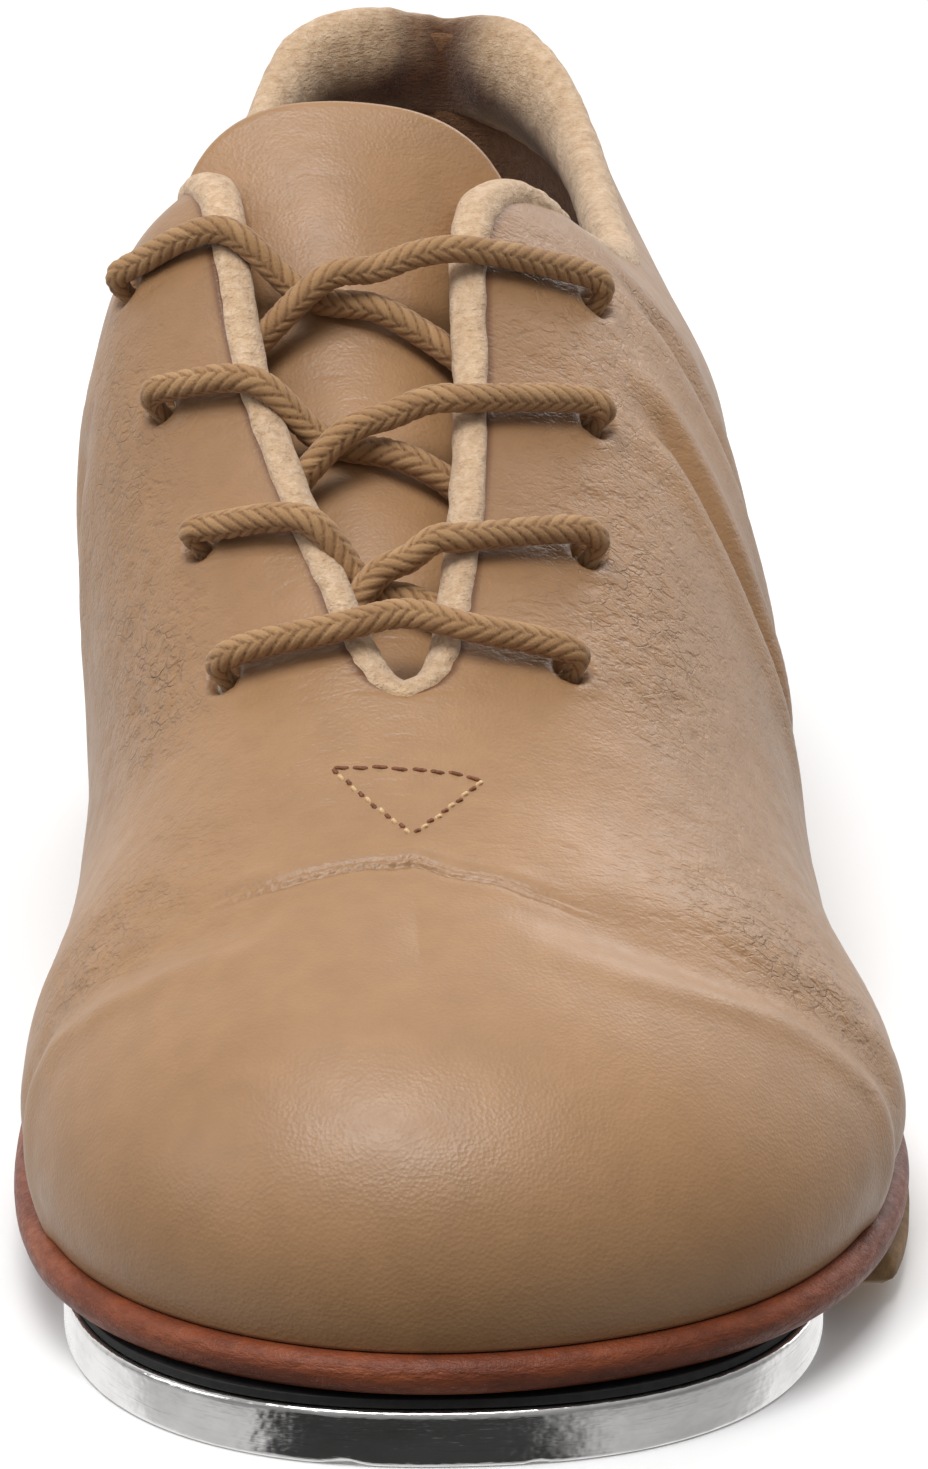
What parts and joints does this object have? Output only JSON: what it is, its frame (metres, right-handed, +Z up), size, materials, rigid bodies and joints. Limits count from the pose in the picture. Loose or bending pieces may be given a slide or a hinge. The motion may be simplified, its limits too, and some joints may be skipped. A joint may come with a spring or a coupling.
{
  "type": "tap shoe",
  "caption": "Left laced tap shoe with soft leather upper, fleece lining, split sole, metal toe and heel taps, and a waist that bends so that the heel lifts.",
  "frame": {"origin": "middle of the shoe's footprint, on the ground plane", "axes": "-Y towards the toe, +Y towards the heel, +X towards the outer side of the left foot, +Z up from the ground"},
  "size_m": [0.0943, 0.2513, 0.0998],
  "materials": {
    "upper_leather": "soft smooth full-grain leather, satin",
    "fleece": "brushed fleece, matt",
    "stiffener": "heat-set thermoplastic sheet",
    "lace_cotton": "round braided cotton",
    "lace_tip": "clear brown film",
    "stitch_thread": "twisted thread",
    "insole_board": "leather board",
    "cork_filler": "granulated cork",
    "sock_cloth": "brushed cloth on thin foam",
    "sole_leather": "sole leather, waxed edge",
    "grip_pad": "thin grip rubber",
    "tap_board": "vulcanised fibre board",
    "tap_metal": "polished, rubbed in use",
    "screw_steel": "zinc-plated steel",
    "collar_foam": "soft foam",
    "lift_leather": "stacked leather, waxed edge"
  },
  "bodies": {
    "forefoot": {"vamp_leather": "upper_leather", "vamp_lining": "fleece", "toe_puff": "stiffener", "facing_stay_medial": "stiffener", "facing_stay_lateral": "stiffener", "throat_binding": "fleece", "tongue_leather": "upper_leather", "tongue_lining": "fleece", "lace": "lace_cotton", "lace_tips": "lace_tip", "vamp_stitching": "stitch_thread", "front_insole_board": "insole_board", "front_bottom_filler": "cork_filler", "front_sock": "sock_cloth", "forefoot_outsole": "sole_leather", "forefoot_grip_pad": "grip_pad", "toe_tap_board": "tap_board", "toe_tap": "tap_metal", "toe_tap_screws": "screw_steel", "waist_leather_medial": "upper_leather", "waist_leather_lateral": "upper_leather", "waist_lining_medial": "fleece", "waist_lining_lateral": "fleece", "waist_collar_medial": "fleece", "waist_collar_lateral": "fleece", "arch_gusset": "upper_leather", "arch_lining": "fleece"},
    "heel": {"quarter_leather_medial": "upper_leather", "quarter_leather_lateral": "upper_leather", "quarter_lining_medial": "fleece", "quarter_lining_lateral": "fleece", "heel_counter": "stiffener", "collar_cover": "fleece", "collar_foam": "collar_foam", "heel_insole_board": "insole_board", "heel_sock": "sock_cloth", "heel_nails": "screw_steel", "heel_seat": "lift_leather", "heel_lift_upper": "lift_leather", "heel_lift_middle": "lift_leather", "heel_lift_lower": "lift_leather", "heel_tap_board": "tap_board", "heel_tap": "tap_metal", "heel_tap_screws": "screw_steel"}
  },
  "joints": [
    {"name": "arch_flex", "type": "hinge", "parent": "forefoot", "child": "heel", "pos_m": [0.001, 0.037, 0.02], "axis": [1, 0, 0], "range_deg": [0, 20], "stiffness_Nm_per_rad": 0.8, "deforming": ["waist_leather_medial", "waist_leather_lateral", "waist_lining_medial", "waist_lining_lateral", "waist_collar_medial", "waist_collar_lateral", "arch_gusset", "arch_lining"]}
  ]
}
